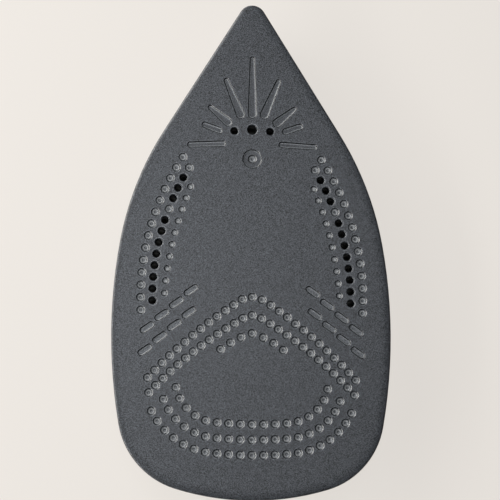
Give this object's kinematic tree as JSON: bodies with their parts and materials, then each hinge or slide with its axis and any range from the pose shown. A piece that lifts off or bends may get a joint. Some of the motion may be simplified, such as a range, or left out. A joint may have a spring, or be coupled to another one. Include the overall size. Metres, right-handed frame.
{
  "type": "iron soleplate",
  "caption": "Pointed soleplate of a household steam iron: coated ironing face with steam holes, dimple rows and grooves, and on the back a heater rib, covered steam chamber and threaded posts.",
  "frame": {"origin": "on the plane that the three mounting posts rest on, under the middle of the plate's outline", "axes": "+X across the plate, +Y towards the tip, +Z out of the ironing face"},
  "size_m": [0.118, 0.2132, 0.024],
  "materials": {
    "coated_plate": "die-cast aluminium under a dark grey satin non-stick coating with a fine speckle",
    "cover_sheet": "bare stamped sheet",
    "heater_sheath": "dull drawn tube",
    "heater_bead": "unglazed off-white ceramic",
    "heater_tab": "nickel-plated strip"
  },
  "bodies": {
    "root": {"soleplate": "coated_plate", "steam_chamber_cover": "cover_sheet", "heater_ends": "heater_sheath", "heater_insulators": "heater_bead", "heater_terminals": "heater_tab"}
  },
  "joints": []
}
